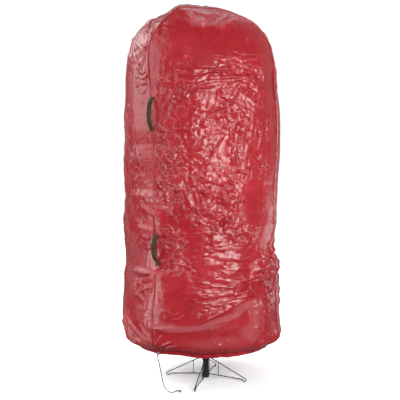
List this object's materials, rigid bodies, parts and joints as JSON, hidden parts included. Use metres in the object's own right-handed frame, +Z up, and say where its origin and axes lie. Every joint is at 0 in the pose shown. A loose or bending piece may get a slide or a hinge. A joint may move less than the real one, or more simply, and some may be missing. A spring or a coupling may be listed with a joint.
{
  "type": "upright tree storage bag on a folding wire stand",
  "caption": "Tall upright drawstring storage bag of woven sheet over a sectional artificial tree, standing on a tube stand with folding wire legs.",
  "frame": {"origin": "on the floor, under the middle of the bag; the pole and the stand's tube are 25 mm to its +X side", "axes": "+Z up, the bag's front panel faces -Y, the side with the handles is the front left seam (-X, -Y)"},
  "size_m": [0.9626, 0.9316, 2.304],
  "materials": {
    "tarp": "glossy coated woven sheet, crinkled",
    "green_paint": "satin dark green paint",
    "plated_steel": "zinc plated",
    "webbing": "dark green woven webbing",
    "cord": "dark braided cord",
    "foliage": "matte green film needles"
  },
  "bodies": {
    "stand": {"stand_tube": "green_paint", "pole_stop": "green_paint", "fixed_collar_top": "green_paint", "fixed_collar_bottom": "green_paint", "leg_left": "green_paint", "leg_right": "green_paint", "fixed_leg_struts": "green_paint", "weld_nuts": "plated_steel"},
    "swivel_legs": {"swivel_collar_top": "green_paint", "swivel_collar_bottom": "green_paint", "leg_front": "green_paint", "leg_rear": "green_paint", "swivel_leg_struts": "green_paint"},
    "bolt_lower": {"eye_bolt_lower": "plated_steel"},
    "bolt_upper": {"eye_bolt_upper": "plated_steel"},
    "tree_and_bag": {"pole_lower": "green_paint", "pole_middle": "green_paint", "pole_upper": "green_paint", "branch_bracket_1": "plated_steel", "branch_bracket_2": "plated_steel", "branch_bracket_3": "plated_steel", "branch_bracket_4": "plated_steel", "branch_bracket_5": "plated_steel", "branch_bracket_6": "plated_steel", "branch_tier_1": "foliage", "branch_tier_2": "foliage", "branch_tier_3": "foliage", "branch_tier_4": "foliage", "branch_tier_5": "foliage", "branch_tier_6": "foliage", "branch_pins": "plated_steel", "tree_top": "foliage", "bag_front_panel": "tarp", "bag_back_panel": "tarp", "bag_gusset": "tarp", "hem_channel": "tarp", "cord_eyelet": "plated_steel", "drawcord_loop": "cord", "drawcord_tail": "cord", "drawcord_knot": "cord", "handle_upper_ends": "webbing", "handle_lower_ends": "webbing"},
    "upper_handle": {"handle_upper": "webbing"},
    "lower_handle": {"handle_lower": "webbing"}
  },
  "joints": [
    {"name": "legs_fold", "type": "hinge", "parent": "stand", "child": "swivel_legs", "pos_m": [0.025, 0, 0.074], "axis": [0, 0, 1], "range_deg": [0, 82]},
    {"name": "bolt_lower_turn", "type": "hinge", "parent": "stand", "child": "bolt_lower", "pos_m": [0.025, 0, 0.225], "axis": [0.2334, -0.9724, 0], "continuous": true},
    {"name": "bolt_upper_turn", "type": "hinge", "parent": "stand", "child": "bolt_upper", "pos_m": [0.025, 0, 0.3], "axis": [-0.2334, 0.9724, 0], "continuous": true},
    {"name": "tree_lift", "type": "slide", "parent": "stand", "child": "tree_and_bag", "axis": [0, 0, 1], "range_m": [0, 0.18]},
    {"name": "upper_handle_swing", "type": "hinge", "parent": "tree_and_bag", "child": "upper_handle", "pos_m": [-0.37613, -0.30296, 1.647], "axis": [0, 0, 1], "range_deg": [-58, 30]},
    {"name": "lower_handle_swing", "type": "hinge", "parent": "tree_and_bag", "child": "lower_handle", "pos_m": [-0.362, -0.32701, 0.894], "axis": [0, 0, 1], "range_deg": [-58, 30]}
  ]
}
